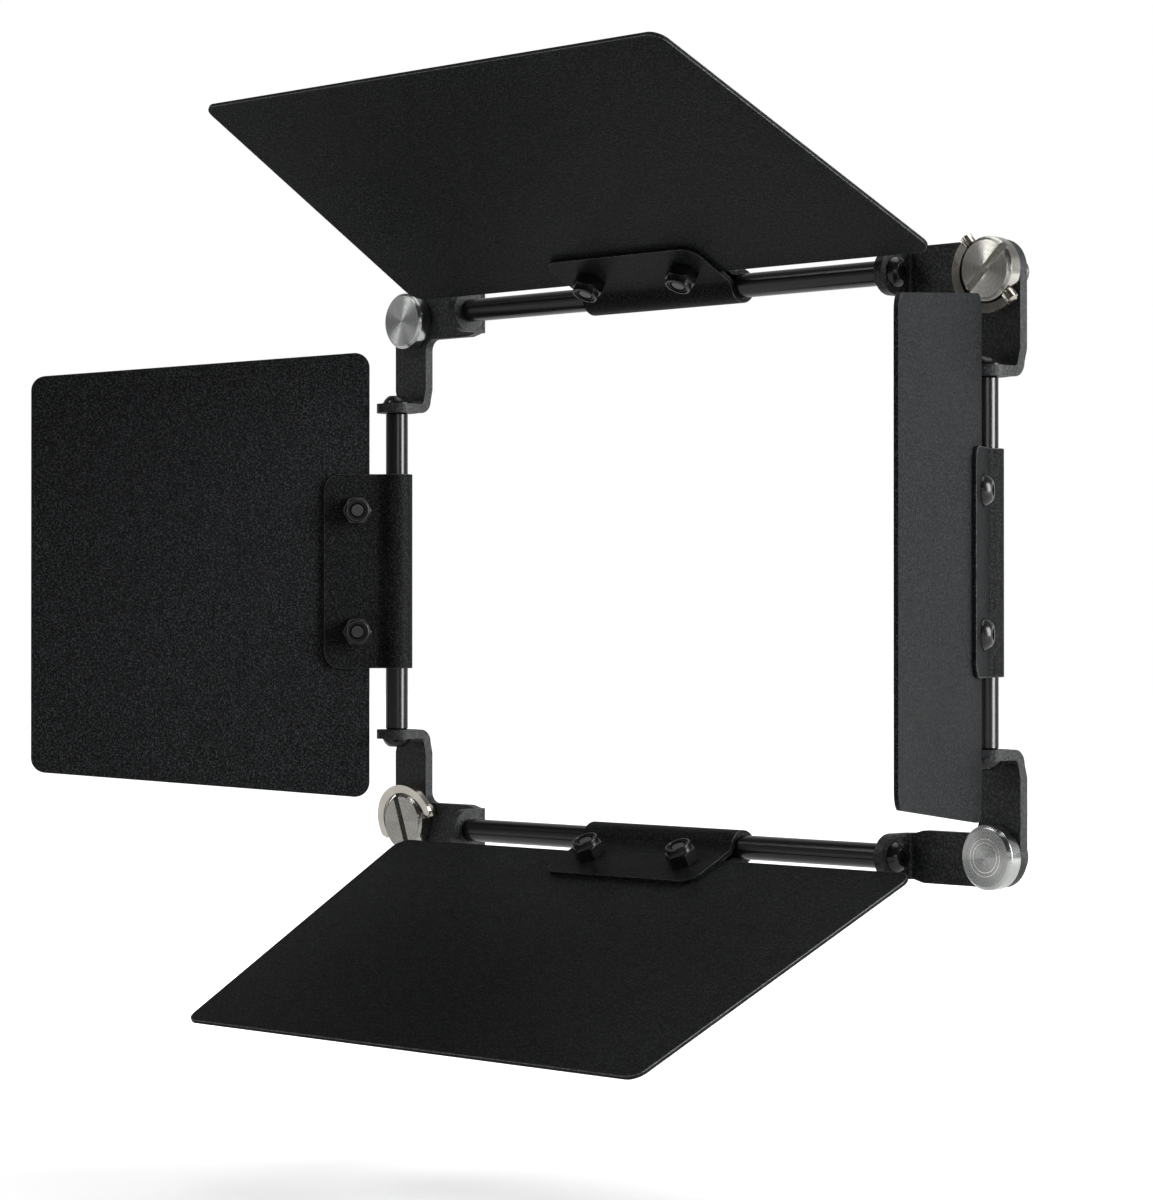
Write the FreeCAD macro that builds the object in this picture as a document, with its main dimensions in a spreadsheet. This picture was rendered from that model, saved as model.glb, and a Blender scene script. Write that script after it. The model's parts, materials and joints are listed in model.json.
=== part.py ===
import FreeCAD, Part
import os
import Sketcher

# Four-leaf barn door for a small LED panel.
# Frame: +Z up, +X to the right as seen from the front, the light leaves towards -Y.
# Origin: the middle of the two fixing screws' circle, in the plane where the brackets
# seat on the lamp (y = 0).

doc = FreeCAD.newDocument("BarnDoor")
sizes = doc.addObject("Spreadsheet::Sheet", "Sizes")
SIZES = [
    # frame
    ("rod_axis_x", 104.0, "side hinge rods: half the distance between their axes"),
    ("rod_axis_z", 69.5, "top and bottom hinge rods: half the distance between their axes"),
    ("rod_half_wide", 74.25, "top and bottom rods: half their length between the ears"),
    ("rod_half_tall", 43.25, "side rods: half their length between the ears"),
    ("rod_dia", 6.0, "hinge rod diameter"),
    ("rod_chamfer", 0.4, "chamfer on the rod's ends"),
    ("rod_front", 5.0, "rod axis in front of the bracket's front face"),
    ("plate_thick", 2.5, "bracket sheet"),
    ("arm_width", 12.5, "width of a bracket's arms"),
    ("corner_round", 7.25, "outer corner of the bracket, about the corner screw's axis"),
    ("inner_round", 3.0, "inner corner of the bracket"),
    ("ear_width", 11.0, "width of the bent ears"),
    ("ear_taper", 3.0, "length over which an arm narrows to its ear"),
    ("bend_inner", 1.0, "inner bend radius of the ears"),
    # rod screws, M4 button heads
    ("screw_dia", 4.0, "M4 shank"),
    ("screw_fit", 0.1, "play of an M4 shank in its bore, on the diameter"),
    ("ear_hole_fit", 0.3, "play of an M4 shank in a clearance hole, on the diameter"),
    ("button_dia", 7.6, "M4 button head diameter"),
    ("button_high", 2.2, "M4 button head height"),
    ("button_flat", 4.4, "flat top of the button head"),
    ("button_edge", 0.3, "straight rim under the button head's dome"),
    ("screw_bevel", 0.4, "bevel at an M4 screw's end"),
    ("hex_key", 2.5, "hexagon socket across flats"),
    ("hex_deep", 1.3, "hexagon socket depth"),
    ("rod_screw_long", 10.0, "rod screw length under the head"),
    ("rod_bore_long", 9.0, "depth of the tapped bore in a rod's end"),
    # flaps
    ("flap_thick", 1.0, "flap sheet"),
    ("flap_start", 7.5, "rod axis to the flap's hinge edge"),
    ("flap_long", 91.5, "flap from hinge edge to free edge"),
    ("flap_wide_in", 183.0, "top and bottom flaps, hinge edge"),
    ("flap_wide_out", 161.0, "top and bottom flaps, free edge"),
    ("flap_tall_in", 122.0, "side flaps, hinge edge"),
    ("flap_tall_out", 106.5, "side flaps, free edge"),
    ("flap_round", 4.0, "corner radius of the flaps"),
    ("shift_wide", 3.0, "middle of a top or bottom flap off the middle of its clip"),
    ("shift_tall", -1.0, "middle of a side flap off the middle of its clip"),
    ("open_angle_top", 28.0, "top flap, angle out of the straight-ahead direction"),
    ("open_angle_bottom", 27.0, "bottom flap, the same"),
    ("open_angle_left", 36.0, "left flap, the same"),
    ("open_angle_right", 29.0, "right flap, the same"),
    # hinge clips
    ("clip_thick", 1.2, "clip sheet"),
    ("clip_long", 53.0, "clip along the rod"),
    ("clip_reach", 20.0, "rod axis to the free edge of the clip's leaves"),
    ("clip_round", 4.5, "corner radius of the leaves"),
    ("clip_fit", 0.05, "radial play of the rod in the clip's roll"),
    ("clip_step", 3.6, "inner bend radius between the roll and a leaf"),
    ("clamp_reach", 11.3, "rod axis to the clamp screws"),
    ("clamp_pitch", 33.0, "distance between the clamp screws"),
    ("clamp_long", 8.0, "clamp screw length under the head"),
    # lock nuts, M4 with nylon insert
    ("nut_flats", 7.0, "nut across flats"),
    ("nut_high", 5.0, "nut height with its collar"),
    ("nut_hex_high", 3.3, "height of the hexagon"),
    ("nut_bevel", 0.45, "bevel of the hexagon's corners"),
    ("collar_dia", 6.5, "collar diameter"),
    ("insert_dia", 5.3, "nylon ring diameter"),
    ("insert_high", 1.3, "nylon ring height"),
    ("insert_sunk", 0.3, "nylon ring below the collar's rim"),
    ("insert_fit", 0.1, "play of the nylon ring in its seat, on the diameter"),
    # corner screws
    ("head_dia", 15.2, "head of the corner screws and studs"),
    ("head_high", 4.2, "height of that head"),
    ("head_bevel", 0.8, "bevel on the head's rim"),
    ("head_foot", 0.3, "bevel on the head's rear rim"),
    ("head_gap", 0.05, "running gap of the fixing screw's head on its bracket"),
    ("slot_wide", 1.9, "coin slot width"),
    ("slot_deep", 1.5, "coin slot depth"),
    ("slot_angle_right", 43.0, "upper fixing screw at rest: its coin slot out of the horizontal"),
    ("slot_angle_left", 110.0, "lower fixing screw at rest, the same"),
    ("neck_dia", 5.8, "relieved neck of the fixing screw, in its bracket"),
    ("thread_dia", 6.35, "quarter-inch camera thread, outer diameter"),
    ("thread_fit", 0.25, "play of that thread in its bracket, on the diameter"),
    ("thread_long", 7.0, "thread behind the bracket"),
    ("thread_bevel", 0.8, "bevel at the screw's end"),
    # folding rings
    ("ring_gap", 0.6, "ring's inner edge off the head"),
    ("ring_wide", 2.2, "ring, radial width"),
    ("ring_thick", 1.6, "ring, sheet thickness"),
    ("ring_pin", 1.6, "pivot pins of the ring"),
    ("ring_pin_fit", 0.1, "play of those pins, on the diameter"),
    ("ring_pin_deep", 2.2, "length of a pivot pin in the head"),
    ("ring_pin_room", 0.3, "room at the end of a pivot pin"),
    ("lug_dia", 3.3, "half-round ridged lug over the pivot pin, over its ridges"),
    ("lug_gap", 0.35, "lug's inner face off the head"),
    ("ridge_deep", 0.3, "depth of the grooves between the lug's ridges"),
    ("fold_angle_right", 6.0, "upper ring at rest, raised from flat"),
    ("fold_angle_left", 168.0, "lower ring at rest, folded over to the other side"),
    # locating studs
    ("stud_shank", 5.0, "shank of the nose, through the bracket into the stud's head"),
    ("stud_fit", 0.1, "play of that shank, on the diameter"),
    ("shank_sunk", 2.4, "length of the shank in the head"),
    ("shank_room", 0.2, "room at the end of the shank"),
    ("nose_dia", 10.0, "locating nose behind the bracket"),
    ("nose_long", 4.0, "length of that nose"),
    ("nose_bevel", 0.8, "lead-in bevel of the nose"),
]
for row, (alias, value, note) in enumerate(SIZES, start=1):
    sizes.set("A%d" % row, note)
    sizes.set("B%d" % row, str(value))
    sizes.setAlias("B%d" % row, alias)
doc.recompute()


def x(text):
    """Turn alias words in a formula into references to the sheet."""
    out = []
    for word in text.split():
        out.append("Sizes." + word if word in ALIASES else word)
    return " ".join(out)


ALIASES = {alias for alias, value, note in SIZES}


def num(text):
    value = sizes.evalExpression(x(text))
    return float(getattr(value, "Value", value))


def new_body(label):
    body = doc.addObject("PartDesign::Body", label)
    body.Label = label
    body.AllowCompound = True
    return body


def new_sketch(body, name, role, off="0"):
    """Sketch on one of the body's own origin planes, moved along its normal."""
    sketch = body.newObject("Sketcher::SketchObject", name)
    plane = [f for f in body.Origin.OriginFeatures if f.Role == role][0]
    sketch.AttachmentSupport = [(plane, "")]
    sketch.MapMode = "FlatFace"
    sketch.setExpression("AttachmentOffset.Base.z", x(off))
    return sketch


def bind(sketch, constraint, text):
    index = sketch.addConstraint(constraint)
    sketch.setExpression("Constraints[%d]" % index, x(text))


def place(sketch, geo, pos, ex, ey):
    """Fix a point of the sketch at two formulas."""
    if ex == "0":
        sketch.addConstraint(Sketcher.Constraint("PointOnObject", geo, pos, -2))
    else:
        bind(sketch, Sketcher.Constraint("DistanceX", -1, 1, geo, pos, num(ex)), ex)
    if ey == "0":
        sketch.addConstraint(Sketcher.Constraint("PointOnObject", geo, pos, -1))
    else:
        bind(sketch, Sketcher.Constraint("DistanceY", -1, 1, geo, pos, num(ey)), ey)


def outline(sketch, points, arcs=()):
    """Closed outline through points given as formulas.

    arcs maps the index of a side to (radius, centre x, centre y, turn), turn +1 for
    an arc that runs anticlockwise from its first point.
    """
    arcs = dict(arcs)
    count = len(points)
    spots = [FreeCAD.Vector(num(a), num(b), 0) for a, b in points]
    first = sketch.GeometryCount
    ends = []
    for i in range(count):
        a, b = spots[i], spots[(i + 1) % count]
        if i in arcs:
            radius, cx, cy, turn = arcs[i]
            centre = FreeCAD.Vector(num(cx), num(cy), 0)
            circle = Part.Circle(centre, FreeCAD.Vector(0, 0, 1), num(radius))
            p, q = (a, b) if turn > 0 else (b, a)
            geo = Part.ArcOfCircle(circle, circle.parameter(p), circle.parameter(q))
            ends.append((1, 2) if turn > 0 else (2, 1))
        else:
            geo = Part.LineSegment(a, b)
            ends.append((1, 2))
        sketch.addGeometry(geo, False)
    for i in range(count):
        j = (i + 1) % count
        sketch.addConstraint(Sketcher.Constraint(
            "Coincident", first + i, ends[i][1], first + j, ends[j][0]))
    for i, (ex, ey) in enumerate(points):
        place(sketch, first + i, ends[i][0], ex, ey)
    for i in sorted(arcs):
        bind(sketch, Sketcher.Constraint("Radius", first + i, num(arcs[i][0])), arcs[i][0])


def circle(sketch, ex, ey, radius):
    centre = FreeCAD.Vector(num(ex), num(ey), 0)
    geo = sketch.addGeometry(Part.Circle(centre, FreeCAD.Vector(0, 0, 1), num(radius)), False)
    place(sketch, geo, 3, ex, ey)
    bind(sketch, Sketcher.Constraint("Radius", geo, num(radius)), radius)


def pad(body, sketch, name, length, reverse=False, middle=False):
    feature = body.newObject("PartDesign::Pad", name)
    feature.Profile = sketch
    feature.setExpression("Length", x(length))
    feature.Reversed = reverse
    if middle:
        feature.SideType = "Symmetric"
    return feature


def pocket(body, sketch, name, length, reverse=False, middle=False):
    feature = body.newObject("PartDesign::Pocket", name)
    feature.Profile = sketch
    feature.setExpression("Length", x(length))
    feature.Reversed = reverse
    if middle:
        feature.SideType = "Symmetric"
    return feature


def revolve(body, sketch, name, axis, angle=360.0, middle=False):
    feature = body.newObject("PartDesign::Revolution", name)
    feature.Profile = sketch
    feature.ReferenceAxis = (sketch, [axis])
    feature.Angle = angle
    if middle:
        feature.Midplane = True
    return feature


def mirror(body, features, name, role):
    feature = body.newObject("PartDesign::Mirrored", name)
    feature.Originals = features
    plane = [f for f in body.Origin.OriginFeatures if f.Role == role][0]
    feature.MirrorPlane = (plane, [""])
    body.Tip = feature
    return feature


def round_edges(body, base, name, radius, wanted):
    """Fillet the edges of a feature that a test picks."""
    doc.recompute()
    names = []
    for i, edge in enumerate(base.Shape.Edges, start=1):
        if len(edge.Vertexes) == 2 and wanted(edge):
            names.append("Edge%d" % i)
    feature = body.newObject("PartDesign::Fillet", name)
    feature.Base = (base, names)
    feature.setExpression("Radius", x(radius))
    return feature


def along(edge, axis):
    """True for a straight edge that runs along the given axis."""
    a, b = edge.Vertexes[0].Point, edge.Vertexes[1].Point
    span = b.sub(a)
    return span.Length > 1e-6 and abs(abs(span.dot(axis)) / span.Length - 1) < 1e-6


AXIS_X = FreeCAD.Vector(1, 0, 0)
AXIS_Y = FreeCAD.Vector(0, 1, 0)
AXIS_Z = FreeCAD.Vector(0, 0, 1)


# Corner brackets ------------------------------------------------------------
# An L of sheet steel round the corner screw; both arms end in a round-ended ear
# that is bent forward and carries the end of a hinge rod.

KNOB_X = "( rod_axis_x + arm_width / 2 - corner_round )"
KNOB_Z = "( rod_axis_z + arm_width / 2 - corner_round )"


def bracket(label, hole):
    body = new_body(label)
    wide = "arm_width / 2"
    ear = "ear_width / 2"
    out = "( plate_thick + bend_inner )"
    sketch = new_sketch(body, label + "_outline", "XZ_Plane")
    outline(sketch, [
        ("rod_half_wide + " + out, "rod_axis_z + " + ear),
        ("rod_half_wide + " + out, "rod_axis_z - " + ear),
        ("rod_half_wide + " + out + " + ear_taper", "rod_axis_z - " + wide),
        ("rod_axis_x - " + wide + " - inner_round", "rod_axis_z - " + wide),
        ("rod_axis_x - " + wide, "rod_axis_z - " + wide + " - inner_round"),
        ("rod_axis_x - " + wide, "rod_half_tall + " + out + " + ear_taper"),
        ("rod_axis_x - " + ear, "rod_half_tall + " + out),
        ("rod_axis_x + " + ear, "rod_half_tall + " + out),
        ("rod_axis_x + " + wide, "rod_half_tall + " + out + " + ear_taper"),
        ("rod_axis_x + " + wide, KNOB_Z),
        (KNOB_X, "rod_axis_z + " + wide),
        ("rod_half_wide + " + out + " + ear_taper", "rod_axis_z + " + wide),
    ], {
        3: ("inner_round", "rod_axis_x - " + wide + " - inner_round",
            "rod_axis_z - " + wide + " - inner_round", -1),
        9: ("corner_round", KNOB_X, KNOB_Z, 1),
    })
    pad(body, sketch, label + "_plate", "plate_thick")

    axis_y = "0 - plate_thick - rod_front"
    # ear for the top rod: profile seen along Z
    sketch = new_sketch(body, label + "_bend_wide", "XY_Plane", "rod_axis_z")
    outline(sketch, [
        ("rod_half_wide + " + out, "0"),
        ("rod_half_wide", "0 - " + out),
        ("rod_half_wide", axis_y),
        ("rod_half_wide + plate_thick", axis_y),
        ("rod_half_wide + plate_thick", "0 - " + out),
        ("rod_half_wide + " + out, "0 - plate_thick"),
    ], {
        0: (out, "rod_half_wide + " + out, "0 - " + out, 1),
        4: ("bend_inner", "rod_half_wide + " + out, "0 - " + out, -1),
    })
    pad(body, sketch, label + "_ear_wide", "ear_width", middle=True)
    sketch = new_sketch(body, label + "_round_wide", "YZ_Plane", "rod_half_wide")
    circle(sketch, axis_y, "rod_axis_z", ear)
    pad(body, sketch, label + "_end_wide", "plate_thick")
    sketch = new_sketch(body, label + "_bore_wide", "YZ_Plane", "rod_half_wide")
    circle(sketch, axis_y, "rod_axis_z", "( screw_dia + ear_hole_fit ) / 2")
    pocket(body, sketch, label + "_hole_wide", "plate_thick", reverse=True)

    # ear for the side rod: profile seen along X
    sketch = new_sketch(body, label + "_bend_tall", "YZ_Plane", "rod_axis_x")
    outline(sketch, [
        ("0", "rod_half_tall + " + out),
        ("0 - " + out, "rod_half_tall"),
        (axis_y, "rod_half_tall"),
        (axis_y, "rod_half_tall + plate_thick"),
        ("0 - " + out, "rod_half_tall + plate_thick"),
        ("0 - plate_thick", "rod_half_tall + " + out),
    ], {
        0: (out, "0 - " + out, "rod_half_tall + " + out, -1),
        4: ("bend_inner", "0 - " + out, "rod_half_tall + " + out, 1),
    })
    pad(body, sketch, label + "_ear_tall", "ear_width", middle=True)
    sketch = new_sketch(body, label + "_round_tall", "XY_Plane", "rod_half_tall")
    circle(sketch, "rod_axis_x", axis_y, ear)
    pad(body, sketch, label + "_end_tall", "plate_thick")
    sketch = new_sketch(body, label + "_bore_tall", "XY_Plane", "rod_half_tall")
    circle(sketch, "rod_axis_x", axis_y, "( screw_dia + ear_hole_fit ) / 2")
    pocket(body, sketch, label + "_hole_tall", "plate_thick", reverse=True)

    sketch = new_sketch(body, label + "_bore_corner", "XZ_Plane")
    circle(sketch, KNOB_X, KNOB_Z, hole)
    pocket(body, sketch, label + "_hole_corner", "plate_thick", reverse=True)
    return body


SCREW_HOLE = "( thread_dia + thread_fit ) / 2"
STUD_HOLE = "( stud_shank + stud_fit ) / 2"
parts = []

top_right = bracket("corner_bracket_top_right", SCREW_HOLE)
bottom_left = bracket("corner_bracket_bottom_left", SCREW_HOLE)
bottom_left.Placement = FreeCAD.Placement(
    FreeCAD.Vector(0, 0, 0), FreeCAD.Rotation(AXIS_Y, 180))
parts += [top_right, bottom_left]

# The other two corners are bent the other way from the same blank.
right_hand = bracket("bracket_blank", STUD_HOLE)
top_left = doc.addObject("Part::Mirroring", "corner_bracket_top_left")
top_left.Source = right_hand
top_left.Normal = AXIS_X
bottom_right = doc.addObject("Part::Mirroring", "corner_bracket_bottom_right")
bottom_right.Source = right_hand
bottom_right.Normal = AXIS_X
bottom_right.Placement = FreeCAD.Placement(
    FreeCAD.Vector(0, 0, 0), FreeCAD.Rotation(AXIS_Y, 180))
for item, label in ((top_left, "corner_bracket_top_left"),
                    (bottom_right, "corner_bracket_bottom_right")):
    item.Label = label
    parts.append(item)


# Hinge rods and their screws --------------------------------------------------
# Built along X about the rod's own middle, then placed on the four sides.

def side_placement(turn, reach):
    """Frame of one side: X along the rod, Y forward (negated), Z outward."""
    rotation = FreeCAD.Rotation(AXIS_Y, turn)
    base = rotation.multVec(FreeCAD.Vector(0, -num("plate_thick + rod_front"), num(reach)))
    return FreeCAD.Placement(base, rotation)


SIDES = [
    # name, turn about Y from the top, rod distance, rod half length, opening angle
    ("top", 0.0, "rod_axis_z", "rod_half_wide", "open_angle_top"),
    ("right", 90.0, "rod_axis_x", "rod_half_tall", "open_angle_right"),
    ("bottom", 180.0, "rod_axis_z", "rod_half_wide", "open_angle_bottom"),
    ("left", -90.0, "rod_axis_x", "rod_half_tall", "open_angle_left"),
]


def rod(side, turn, reach, half):
    body = new_body("hinge_rod_" + side)
    sketch = new_sketch(body, "rod_section_" + side, "XY_Plane")
    bore = "( screw_dia + screw_fit ) / 2"
    outline(sketch, [
        ("0 - " + half, bore),
        ("0 - " + half, "rod_dia / 2 - rod_chamfer"),
        ("0 - " + half + " + rod_chamfer", "rod_dia / 2"),
        (half + " - rod_chamfer", "rod_dia / 2"),
        (half, "rod_dia / 2 - rod_chamfer"),
        (half, bore),
        (half + " - rod_bore_long", bore),
        (half + " - rod_bore_long", "0"),
        ("0 - " + half + " + rod_bore_long", "0"),
        ("0 - " + half + " + rod_bore_long", bore),
    ])
    revolve(body, sketch, "rod_turned_" + side, "H_Axis")
    body.Placement = side_placement(turn, reach)
    return body


# A button head's dome is part of a sphere: how far its centre lies beyond the seat, and
# its radius, from the rim and the flat top.
DOME_AT = ("( button_edge ^ 2 - button_high ^ 2 + button_dia ^ 2 / 4 - button_flat ^ 2 / 4 )"
           " / ( 2 * ( button_edge - button_high ) )")
DOME_RADIUS = "sqrt( ( button_edge - " + DOME_AT + " ) ^ 2 + button_dia ^ 2 / 4 )"


def button_profile(sketch, seat, length):
    """Half section of a button-head screw along X; its head lies beyond the seat."""
    outline(sketch, [
        (seat + " - " + length, "0"),
        (seat + " - " + length, "screw_dia / 2 - screw_bevel"),
        (seat + " - " + length + " + screw_bevel", "screw_dia / 2"),
        (seat, "screw_dia / 2"),
        (seat, "button_dia / 2"),
        (seat + " + button_edge", "button_dia / 2"),
        (seat + " + button_high", "button_flat / 2"),
        (seat + " + button_high", "0"),
    ], {5: (DOME_RADIUS, seat + " + " + DOME_AT, "0", -1)})


def hexagon(sketch, ex, ey, flats):
    """Regular hexagon with two flats square to the sketch's first axis."""
    across = " " + flats + " / 2"
    side = " " + flats + " / 2 / sqrt( 3 )"
    tip = " " + flats + " / sqrt( 3 )"
    outline(sketch, [
        (ex + " +" + across, ey + " +" + side),
        (ex, ey + " +" + tip),
        (ex + " -" + across, ey + " +" + side),
        (ex + " -" + across, ey + " -" + side),
        (ex, ey + " -" + tip),
        (ex + " +" + across, ey + " -" + side),
    ])


def rod_screws(side, turn, reach, half):
    body = new_body("rod_screws_" + side)
    sketch = new_sketch(body, "rod_screw_section_" + side, "XY_Plane")
    seat = half + " + plate_thick"
    button_profile(sketch, seat, "rod_screw_long")
    turned = revolve(body, sketch, "rod_screw_turned_" + side, "H_Axis")
    sketch = new_sketch(body, "rod_screw_key_" + side, "YZ_Plane",
                        seat + " + button_high - hex_deep")
    hexagon(sketch, "0", "0", "hex_key")
    key = pocket(body, sketch, "rod_screw_socket_" + side, "hex_deep", reverse=True)
    mirror(body, [turned, key], "rod_screw_pair_" + side, "YZ_Plane")
    body.Placement = side_placement(turn, reach)
    return body


# Flaps with their hinge clips -------------------------------------------------
# Built with the rod along X, the flap reaching out along Y and the side that the
# light falls on facing +Z, then turned to the opening angle.

def flap_placement(turn, reach, angle):
    base = side_placement(turn, reach)
    return base.multiply(FreeCAD.Placement(
        FreeCAD.Vector(0, 0, 0), FreeCAD.Rotation(AXIS_X, 180 - num(angle))))


def flap(side, place_at, wide_in, wide_out, shift):
    body = new_body("flap_" + side)
    sketch = new_sketch(body, "flap_outline_" + side, "XY_Plane")
    outline(sketch, [
        (shift + " - " + wide_in + " / 2", "flap_start"),
        (shift + " + " + wide_in + " / 2", "flap_start"),
        (shift + " + " + wide_out + " / 2", "flap_start + flap_long"),
        (shift + " - " + wide_out + " / 2", "flap_start + flap_long"),
    ])
    sheet = pad(body, sketch, "flap_sheet_" + side, "flap_thick", middle=True)
    sheet = round_edges(body, sheet, "flap_corners_" + side, "flap_round",
                        lambda edge: along(edge, AXIS_Z))
    sketch = new_sketch(body, "flap_bores_" + side, "XY_Plane")
    for sign in ("", "0 - "):
        circle(sketch, sign + "clamp_pitch / 2", "clamp_reach",
               "( screw_dia + ear_hole_fit ) / 2")
    pocket(body, sketch, "flap_holes_" + side, "flap_thick * 3", middle=True)
    body.Placement = place_at
    return body


def clip(side, place_at):
    body = new_body("hinge_clip_" + side)
    sketch = new_sketch(body, "clip_section_" + side, "YZ_Plane")
    roll = "( rod_dia / 2 + clip_fit )"
    skin = "( flap_thick / 2 )"
    rise = "( " + skin + " + clip_step )"
    span = "( " + roll + " + clip_step )"
    run = "sqrt( " + span + " ^ 2 - " + rise + " ^ 2 )"
    inner_x = run + " * " + roll + " / " + span
    inner_y = rise + " * " + roll + " / " + span
    outer_x = run + " * ( " + roll + " + clip_thick ) / " + span
    outer_y = rise + " * ( " + roll + " + clip_thick ) / " + span
    small = "( clip_step - clip_thick )"
    large = "( " + roll + " + clip_thick )"
    far = "0 - "
    outline(sketch, [
        ("clip_reach", skin + " + clip_thick"),
        (run, skin + " + clip_thick"),
        (outer_x, outer_y),
        (outer_x, far + outer_y),
        (run, far + skin + " - clip_thick"),
        ("clip_reach", far + skin + " - clip_thick"),
        ("clip_reach", far + skin),
        (run, far + skin),
        (inner_x, far + inner_y),
        (inner_x, inner_y),
        (run, skin),
        ("clip_reach", skin),
    ], {
        1: (small, run, rise, -1),
        2: (large, "0", "0", 1),
        3: (small, run, far + rise, -1),
        7: ("clip_step", run, far + rise, 1),
        8: (roll, "0", "0", -1),
        9: ("clip_step", run, rise, 1),
    })
    sheet = pad(body, sketch, "clip_sheet_" + side, "clip_long", middle=True)
    reach = num("clip_reach")
    sheet = round_edges(body, sheet, "clip_corners_" + side, "clip_round",
                        lambda edge: along(edge, AXIS_Z)
                        and abs(edge.Vertexes[0].Point.y - reach) < 1e-6)
    sketch = new_sketch(body, "clip_bores_" + side, "XY_Plane")
    for sign in ("", "0 - "):
        circle(sketch, sign + "clamp_pitch / 2", "clamp_reach",
               "( screw_dia + ear_hole_fit ) / 2")
    pocket(body, sketch, "clip_holes_" + side, "( flap_thick + clip_thick * 2 ) * 2", middle=True)
    body.Placement = place_at
    return body


def upright_axis(sketch, ex, reach):
    """Construction line across the sheet, the axis that a screw or nut is turned about."""
    axis = sketch.addGeometry(Part.LineSegment(
        FreeCAD.Vector(num(ex), -num(reach), 0), FreeCAD.Vector(num(ex), num(reach), 0)), True)
    place(sketch, axis, 1, ex, "0 - " + reach)
    place(sketch, axis, 2, ex, reach)


def clip_screws(side, place_at):
    """Two button-head screws whose heads bear on the clip's outer leaf."""
    body = new_body("clip_screws_" + side)
    seat = "( 0 - flap_thick / 2 - clip_thick )"
    base = new_sketch(body, "clip_screw_section_" + side, "XZ_Plane", "0 - clamp_reach")
    mid = "clamp_pitch / 2"
    outline(base, [
        (mid, seat + " + clamp_long"),
        (mid + " + screw_dia / 2 - screw_bevel", seat + " + clamp_long"),
        (mid + " + screw_dia / 2", seat + " + clamp_long - screw_bevel"),
        (mid + " + screw_dia / 2", seat),
        (mid + " + button_dia / 2", seat),
        (mid + " + button_dia / 2", seat + " - button_edge"),
        (mid + " + button_flat / 2", seat + " - button_high"),
        (mid, seat + " - button_high"),
    ], {5: (DOME_RADIUS, mid, seat + " - " + DOME_AT, -1)})
    upright_axis(base, mid, "clamp_long")
    turned = revolve(body, base, "clip_screw_turned_" + side, "Axis0")
    sketch = new_sketch(body, "clip_screw_key_" + side, "XY_Plane",
                        seat + " - button_high + hex_deep")
    hexagon(sketch, mid, "clamp_reach", "hex_key")
    key = pocket(body, sketch, "clip_screw_socket_" + side, "hex_deep")
    mirror(body, [turned, key], "clip_screw_pair_" + side, "YZ_Plane")
    body.Placement = place_at
    return body


def lock_nuts(side, place_at):
    """Two nylon-insert lock nuts on the clip's inner leaf."""
    body = new_body("lock_nuts_" + side)
    seat = "( flap_thick / 2 + clip_thick )"
    mid = "clamp_pitch / 2"
    sketch = new_sketch(body, "nut_hexagon_" + side, "XY_Plane", seat)
    hexagon(sketch, mid, "clamp_reach", "nut_flats")
    prism = pad(body, sketch, "nut_prism_" + side, "nut_hex_high")
    # the bevel that turns the hexagon's outer corners round
    base = new_sketch(body, "nut_bevel_section_" + side, "XZ_Plane", "0 - clamp_reach")
    tip = mid + " + nut_flats / sqrt( 3 )"
    top = seat + " + nut_hex_high"
    outline(base, [
        (tip + " - nut_bevel", top),
        (tip + " + nut_bevel", top),
        (tip + " + nut_bevel", top + " - nut_bevel"),
    ])
    upright_axis(base, mid, "nut_high")
    bevel = body.newObject("PartDesign::Groove", "nut_bevel_" + side)
    bevel.Profile = base
    bevel.ReferenceAxis = (base, ["Axis0"])
    bevel.Angle = 360.0
    sketch = new_sketch(body, "nut_collar_" + side, "XY_Plane", top)
    circle(sketch, mid, "clamp_reach", "collar_dia / 2")
    collar = pad(body, sketch, "nut_rim_" + side, "nut_high - nut_hex_high")
    sketch = new_sketch(body, "nut_seat_" + side, "XY_Plane", seat + " + nut_high")
    circle(sketch, mid, "clamp_reach", "( insert_dia + insert_fit ) / 2")
    ring = pocket(body, sketch, "nut_ring_seat_" + side, "insert_high + insert_sunk")
    sketch = new_sketch(body, "nut_bore_" + side, "XY_Plane", seat + " + nut_high")
    circle(sketch, mid, "clamp_reach", "( screw_dia + screw_fit ) / 2")
    bore = pocket(body, sketch, "nut_thread_" + side, "nut_high")
    mirror(body, [prism, bevel, collar, ring, bore], "nut_pair_" + side, "YZ_Plane")
    body.Placement = place_at
    return body


def nylon_rings(side, place_at):
    body = new_body("nylon_rings_" + side)
    seat = "flap_thick / 2 + clip_thick + nut_high - insert_sunk - insert_high"
    sketch = new_sketch(body, "nylon_outline_" + side, "XY_Plane", seat)
    circle(sketch, "clamp_pitch / 2", "clamp_reach", "insert_dia / 2")
    circle(sketch, "clamp_pitch / 2", "clamp_reach", "( screw_dia + screw_fit ) / 2")
    ring = pad(body, sketch, "nylon_ring_" + side, "insert_high")
    mirror(body, [ring], "nylon_pair_" + side, "YZ_Plane")
    body.Placement = place_at
    return body


for side, turn, reach, half, angle in SIDES:
    parts.append(rod(side, turn, reach, half))
    parts.append(rod_screws(side, turn, reach, half))
    at = flap_placement(turn, reach, angle)
    kind = "wide" if side in ("top", "bottom") else "tall"
    parts.append(flap(side, at, "flap_" + kind + "_in", "flap_" + kind + "_out", "shift_" + kind))
    parts.append(clip(side, at))
    parts.append(clip_screws(side, at))
    parts.append(lock_nuts(side, at))
    parts.append(nylon_rings(side, at))


# Corner screws, folding rings and locating studs --------------------------------
# Built about Z with the bracket's front face at z = 0 and the head above it, then
# laid down so that the head faces forward.

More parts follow.
